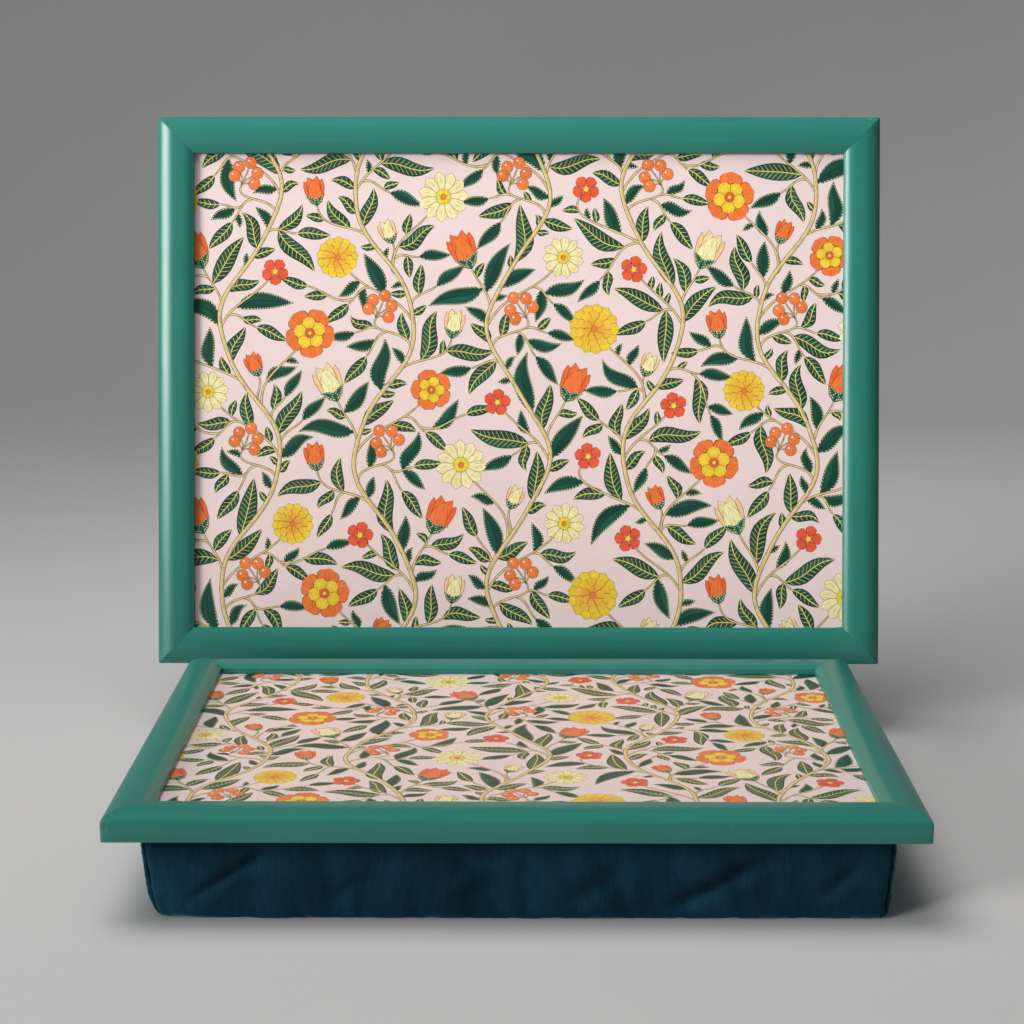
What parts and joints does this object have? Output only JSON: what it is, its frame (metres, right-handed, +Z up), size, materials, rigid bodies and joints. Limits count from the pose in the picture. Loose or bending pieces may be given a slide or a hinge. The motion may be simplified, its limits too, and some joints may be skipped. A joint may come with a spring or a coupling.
{
  "type": "lap desk with lift lid",
  "caption": "Lap desk on a filled cushion: a printed panel in a mitred frame, under a larger framed lid that hinges up behind it and closes down over its frame.",
  "frame": {"origin": "centre of the cushion's flat underside, on the surface that the desk lies on", "axes": "+X to the right along the hinge line, +Y from the user to the back, +Z up"},
  "size_m": [0.4946, 0.4378, 0.4174],
  "materials": {
    "frame_paint": "satin",
    "print_laminate": "satin",
    "panel_board": "matte",
    "cushion_board": "matte",
    "writing_board_paint": "satin",
    "cushion_cloth": "matte",
    "filling": "matte",
    "hinge_steel": "satin",
    "screw_steel": "satin",
    "staple_steel": "satin",
    "nail_steel": "satin"
  },
  "bodies": {
    "base": {"base_rail_front": "frame_paint", "base_rail_back": "frame_paint", "base_rail_left": "frame_paint", "base_rail_right": "frame_paint", "base_corner_nail_1": "nail_steel", "base_corner_nail_2": "nail_steel", "base_corner_nail_3": "nail_steel", "base_corner_nail_4": "nail_steel", "base_print_sheet": "print_laminate", "base_panel": "panel_board", "cushion_board": "cushion_board", "cushion_cover": "cushion_cloth", "cushion_filling": "filling", "cushion_staple_1": "staple_steel", "cushion_staple_2": "staple_steel", "cushion_staple_3": "staple_steel", "cushion_staple_4": "staple_steel", "cushion_staple_5": "staple_steel", "cushion_staple_6": "staple_steel", "cushion_staple_7": "staple_steel", "cushion_staple_8": "staple_steel", "cushion_staple_9": "staple_steel", "cushion_staple_10": "staple_steel", "hinge_left_base_leaf": "hinge_steel", "hinge_right_base_leaf": "hinge_steel", "hinge_left_pin": "hinge_steel", "hinge_right_pin": "hinge_steel", "base_hinge_screw_1": "screw_steel", "base_hinge_screw_2": "screw_steel", "base_hinge_screw_3": "screw_steel", "base_hinge_screw_4": "screw_steel"},
    "lid": {"lid_rail_front": "frame_paint", "lid_rail_back": "frame_paint", "lid_rail_left": "frame_paint", "lid_rail_right": "frame_paint", "lid_corner_nail_1": "nail_steel", "lid_corner_nail_2": "nail_steel", "lid_corner_nail_3": "nail_steel", "lid_corner_nail_4": "nail_steel", "lid_print_sheet": "print_laminate", "lid_panel": "panel_board", "writing_board": "writing_board_paint", "hinge_left_lid_leaf": "hinge_steel", "hinge_right_lid_leaf": "hinge_steel", "lid_hinge_screw_1": "screw_steel", "lid_hinge_screw_2": "screw_steel", "lid_hinge_screw_3": "screw_steel", "lid_hinge_screw_4": "screw_steel"}
  },
  "joints": [
    {"name": "lid_hinge", "type": "hinge", "parent": "base", "child": "lid", "pos_m": [0, 0.18615, 0.0527], "axis": [1, 0, 0], "range_deg": [0, 100.5]}
  ]
}
